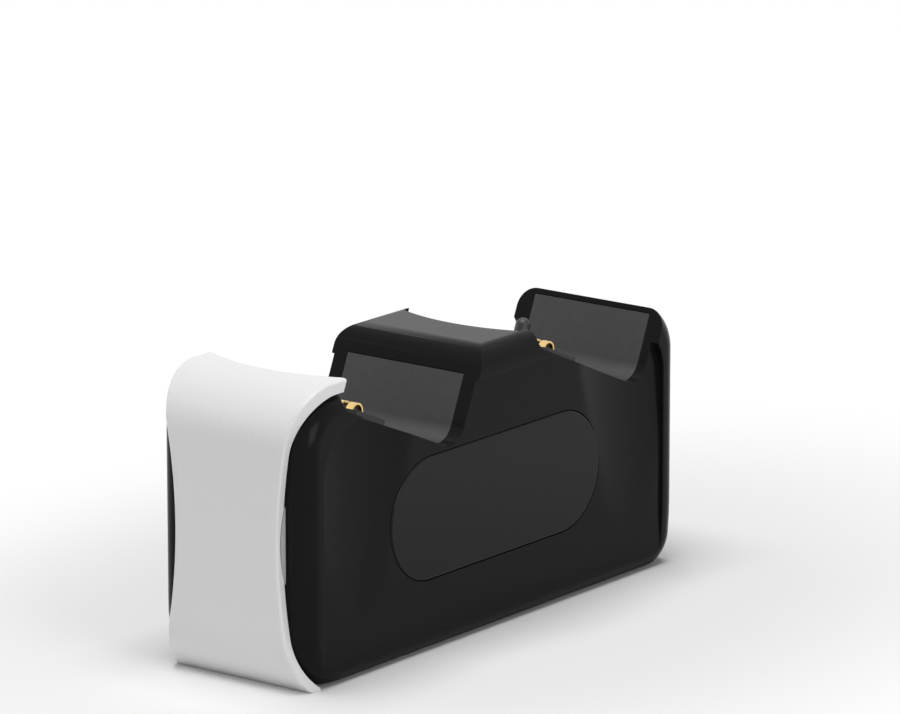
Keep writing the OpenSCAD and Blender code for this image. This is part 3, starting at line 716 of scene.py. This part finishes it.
class Shader:
    """A material with a Principled shader and short calls for the nodes that feed it."""

    def __init__(self, name, colour, roughness, **sockets):
        self.material = bpy.data.materials.new(name)
        self.material.use_nodes = True
        self.tree = self.material.node_tree
        self.shader = self.tree.nodes["Principled BSDF"]
        self.shader.inputs["Base Color"].default_value = (*colour, 1)
        self.shader.inputs["Roughness"].default_value = roughness
        for socket, value in sockets.items():
            self.shader.inputs[socket.replace("_", " ")].default_value = value
        self.place = self.tree.nodes.new("ShaderNodeTexCoord").outputs["Object"]

    def noise(self, scale, detail=NOISE_DETAIL, stretch=(1, 1, 1)):
        mapping = self.tree.nodes.new("ShaderNodeMapping")
        mapping.inputs["Scale"].default_value = stretch
        self.tree.links.new(self.place, mapping.inputs["Vector"])
        noise = self.tree.nodes.new("ShaderNodeTexNoise")
        noise.inputs["Scale"].default_value = scale
        noise.inputs["Detail"].default_value = detail
        self.tree.links.new(mapping.outputs["Vector"], noise.inputs["Vector"])
        return noise.outputs["Fac"]

    def spread(self, value, low, high, socket):
        """Lets a noise move a number between two limits."""
        ramp = self.tree.nodes.new("ShaderNodeMapRange")
        ramp.inputs["From Min"].default_value = NOISE_LOW
        ramp.inputs["From Max"].default_value = NOISE_HIGH
        ramp.inputs["To Min"].default_value = low
        ramp.inputs["To Max"].default_value = high
        self.tree.links.new(value, ramp.inputs["Value"])
        self.tree.links.new(ramp.outputs["Result"], self.shader.inputs[socket])

    def tint(self, value, dark, light):
        """Lets a noise move the colour between two shades."""
        ramp = self.tree.nodes.new("ShaderNodeValToRGB")
        ramp.color_ramp.elements[0].position = NOISE_LOW
        ramp.color_ramp.elements[0].color = (*dark, 1)
        ramp.color_ramp.elements[1].position = NOISE_HIGH
        ramp.color_ramp.elements[1].color = (*light, 1)
        self.tree.links.new(value, ramp.inputs["Fac"])
        self.tree.links.new(ramp.outputs["Color"], self.shader.inputs["Base Color"])

    def relief(self, value, height, edge):
        """A fine texture over edges that are rounded by a hair."""
        bevel = self.tree.nodes.new("ShaderNodeBevel")
        bevel.samples = BEVEL_SAMPLES
        bevel.inputs["Radius"].default_value = edge
        normal = bevel.outputs["Normal"]
        if height:
            bump = self.tree.nodes.new("ShaderNodeBump")
            bump.inputs["Distance"].default_value = height
            self.tree.links.new(value, bump.inputs["Height"])
            self.tree.links.new(normal, bump.inputs["Normal"])
            normal = bump.outputs["Normal"]
        self.tree.links.new(normal, self.shader.inputs["Normal"])


def moulded(name, dark, light, low, high, grain, height, index=USUAL_INDEX):
    """Plastic with a grain: its colour and gloss drift a little, and its surface has a fine texture."""
    m = Shader(name, light, low, IOR=index)
    m.tint(m.noise(TINT_SCALE), dark, light)
    m.spread(m.noise(GLOSS_SCALE), low, high, "Roughness")
    m.relief(m.noise(grain, GRAIN_DETAIL), height, SOFT_EDGE)
    return m.material


def metal(name, dark, light, low, high, stretch):
    """Brushed metal, whose grain runs across the stretched direction."""
    m = Shader(name, light, low, Metallic=1.0)
    m.tint(m.noise(METAL_TINT_SCALE, stretch=stretch), dark, light)
    m.spread(m.noise(METAL_GLOSS_SCALE, stretch=stretch), low, high, "Roughness")
    return m.material


def grey(value):
    return (value, value, value)


# Darkest and lightest colour, lowest and highest roughness, the scale and the height of the
# grain, and the refractive index where it isn't the usual one
PLASTICS = {
    "band_white": (grey(0.84), grey(0.85), 0.27, 0.3, 900, 1e-6, 1.4),
    "housing_black": (grey(0.0072), grey(0.0084), 0.16, 0.2, 900, 2e-6, 1.16),
    "panel_black": (grey(0.0040), grey(0.0046), 0.05, 0.07, 900, 0, 1.25),
    "base_black": (grey(0.010), grey(0.014), 0.45, 0.55, 2600, 3e-5),
    "liner_grey": (grey(0.022), grey(0.028), 0.55, 0.65, 3200, 2e-5),
    "block_black": (grey(0.009), grey(0.012), 0.4, 0.48, 3000, 1.5e-5),
    "guide_grey": (grey(0.46), grey(0.52), 0.3, 0.36, 800, 0),
    "lamp_white": ((0.7, 0.66, 0.4), (0.78, 0.74, 0.5), 0.3, 0.4, 2000, 0),
    "board_green": ((0.012, 0.06, 0.03), (0.016, 0.08, 0.04), 0.25, 0.35, 2200, 1e-5),
    "chip_black": (grey(0.014), grey(0.02), 0.4, 0.5, 4000, 1e-5),
    "coil_grey": (grey(0.04), grey(0.055), 0.5, 0.6, 3000, 1e-5),
    "lead_grey": (grey(0.12), grey(0.15), 0.4, 0.5, 2000, 0),
    "foot_rubber": (grey(0.022), grey(0.03), 0.75, 0.85, 4000, 2e-5),
}

# Darkest and lightest colour, lowest and highest roughness, and how the grain is stretched
METALS = {
    "contact_gold": ((0.75, 0.52, 0.2), (0.85, 0.62, 0.27), 0.18, 0.3, (8, 1, 1)),
    "inlet_steel": (grey(0.5), grey(0.6), 0.25, 0.4, (1, 10, 1)),
    "ballast_steel": (grey(0.35), grey(0.45), 0.4, 0.55, (10, 1, 1)),
    "screw_steel": (grey(0.5), grey(0.62), 0.25, 0.35, (1, 1, 8)),
}

MATERIALS = {name: moulded(name, *row) for name, row in PLASTICS.items()}
MATERIALS.update({name: metal(name, *row) for name, row in METALS.items()})


# Finish of the pieces: their materials, smooth curves and sharp corners

SLOT_OF = {part["node"]: part["material_slot"] for part in frame["record"]["subparts"]}
SHARP = math.radians(35)
WELD = 1e-6


def dress(obj, slot):
    """Gives a piece the material of its slot."""
    obj.data.materials.clear()
    obj.data.materials.append(MATERIALS[slot])


def settle(obj, name, node):
    """Moves a finished solid into the frame, smooths its curves and lets it stand for a node."""
    obj.name = obj.data.name = name
    obj.data.transform(TO_FRAME)
    obj.data.shade_smooth()
    obj.data.set_sharp_from_angle(angle=SHARP)
    weighted = obj.modifiers.new("weighted normals", "WEIGHTED_NORMAL")
    weighted.keep_sharp = True
    dress(obj, SLOT_OF[node])
    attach(obj, "root")
    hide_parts(node)


def soft_shading():
    """Nodes that smooth the curves of a frame part and leave its corners sharp."""
    group = bpy.data.node_groups.new("soft shading", "GeometryNodeTree")
    group.interface.new_socket("Geometry", in_out="INPUT", socket_type="NodeSocketGeometry")
    group.interface.new_socket("Geometry", in_out="OUTPUT", socket_type="NodeSocketGeometry")
    start = group.nodes.new("NodeGroupInput")
    weld = group.nodes.new("GeometryNodeMergeByDistance")
    weld.inputs["Distance"].default_value = WELD
    smooth = group.nodes.new("GeometryNodeSetShadeSmooth")
    corners = group.nodes.new("GeometryNodeSetShadeSmooth")
    corners.domain = "EDGE"
    corners.inputs["Shade Smooth"].default_value = False
    angle = group.nodes.new("GeometryNodeInputMeshEdgeAngle")
    sharper = group.nodes.new("FunctionNodeCompare")
    sharper.inputs[1].default_value = SHARP
    end = group.nodes.new("NodeGroupOutput")
    chain = [start, weld, smooth, corners, end]
    for one, other in zip(chain, chain[1:]):
        group.links.new(one.outputs[0], other.inputs[0])
    group.links.new(angle.outputs["Unsigned Angle"], sharper.inputs[0])
    group.links.new(sharper.outputs[0], corners.inputs["Selection"])
    return group


SOFT_SHADING = soft_shading()
for node, obj in NODES.items():
    dress(obj, SLOT_OF[node])
    obj.modifiers.new("soft shading", "NODES").node_group = SOFT_SHADING
    obj.modifiers.new("weighted normals", "WEIGHTED_NORMAL").keep_sharp = True

settle(make_housing(), "housing_moulding", "housing")
settle(make_band(), "band_moulding", "front_band")
right_panel = make_panel()
settle(mirrored(right_panel), "panel_left", "side_panel_left")
settle(right_panel, "panel_right", "side_panel_right")
right_guide = make_guide()
settle(mirrored(right_guide), "guide_left", "light_guide_left")
settle(right_guide, "guide_right", "light_guide_right")
settle(make_liner(0), "front_liner", "front_seat")
settle(make_liner(SEAT_PITCH), "rear_liner", "rear_seat")


# Stage: a pale floor, a white background and soft lights. The floor turns into the background
# between NEAR and BEYOND, in metres from the middle, and NARROW times sooner across the dock.

WHITE = (1, 1, 1, 1)
FLOOR_SIZE = 8
FLOOR_GREY = 0.93
NEAR = 0.08
BEYOND = 0.21
NARROW = 1.5
AMBIENT = 0.12

# Name, place, target, size and power in watts
LIGHTS = (
    ("top", (0, -0.16, 1.5), (0, 0, 0), (1, 1), 17.7),
    ("right", (1.3, -0.3, 0.5), (0, 0, 0.03), (0.7, 0.7), 5),
    ("left", (-1.2, -0.5, 0.5), (0, 0, 0.03), (0.9, 0.9), 2.2),
)


def background_rays(tree):
    """One where a ray comes from the camera, a reflection or a clear material."""
    paths = tree.nodes.new("ShaderNodeLightPath")
    total = paths.outputs["Is Camera Ray"]
    for other in ("Is Glossy Ray", "Is Transmission Ray"):
        add = tree.nodes.new("ShaderNodeMath")
        add.operation = "MAXIMUM"
        tree.links.new(total, add.inputs[0])
        tree.links.new(paths.outputs[other], add.inputs[1])
        total = add.outputs["Value"]
    return total


def make_stage():
    """The floor, with its shade near the dock and plain white further away."""
    floor = Shader("floor", grey(FLOOR_GREY), 1.0, Specular_IOR_Level=0.0)
    tree = floor.tree
    white = tree.nodes.new("ShaderNodeEmission")
    white.inputs["Color"].default_value = WHITE
    length = tree.nodes.new("ShaderNodeVectorMath")
    length.operation = "LENGTH"
    oval = tree.nodes.new("ShaderNodeMapping")
    oval.inputs["Scale"].default_value = (NARROW, 1, 1)
    tree.links.new(floor.place, oval.inputs["Vector"])
    tree.links.new(oval.outputs["Vector"], length.inputs[0])
    fade = tree.nodes.new("ShaderNodeMapRange")
    fade.interpolation_type = "SMOOTHSTEP"
    fade.inputs["From Min"].default_value = NEAR
    fade.inputs["From Max"].default_value = BEYOND
    tree.links.new(length.outputs["Value"], fade.inputs["Value"])
    share = tree.nodes.new("ShaderNodeMath")
    share.operation = "MULTIPLY"
    tree.links.new(fade.outputs["Result"], share.inputs[0])
    tree.links.new(background_rays(tree), share.inputs[1])
    mix = tree.nodes.new("ShaderNodeMixShader")
    tree.links.new(share.outputs["Value"], mix.inputs["Fac"])
    tree.links.new(floor.shader.outputs["BSDF"], mix.inputs[1])
    tree.links.new(white.outputs["Emission"], mix.inputs[2])
    tree.links.new(mix.outputs["Shader"], tree.nodes["Material Output"].inputs["Surface"])
    bpy.ops.mesh.primitive_plane_add(size=FLOOR_SIZE, location=(0, 0, 0))
    plane = bpy.context.object
    plane.name = "floor"
    plane.data.materials.append(floor.material)


def area_light(name, place, target, size, power):
    """A soft light that faces its target."""
    data = bpy.data.lights.new(name, "AREA")
    data.shape = "RECTANGLE"
    data.size, data.size_y = size
    data.energy = power
    light = bpy.data.objects.new(name, data)
    light.location = place
    light.rotation_euler = (Vector(target) - Vector(place)).to_track_quat("-Z", "Y").to_euler()
    bpy.context.scene.collection.objects.link(light)


def make_world():
    """A white background that lights the dock only a little."""
    world = bpy.data.worlds.new("world")
    world.use_nodes = True
    tree = world.node_tree
    background = tree.nodes["Background"]
    background.inputs["Color"].default_value = WHITE
    strength = tree.nodes.new("ShaderNodeMath")
    strength.operation = "MAXIMUM"
    tree.links.new(background_rays(tree), strength.inputs[0])
    strength.inputs[1].default_value = AMBIENT
    tree.links.new(strength.outputs["Value"], background.inputs["Strength"])
    bpy.context.scene.world = world


make_stage()
make_world()
for row in LIGHTS:
    area_light(*row)
bpy.context.scene.view_settings.view_transform = "Standard"
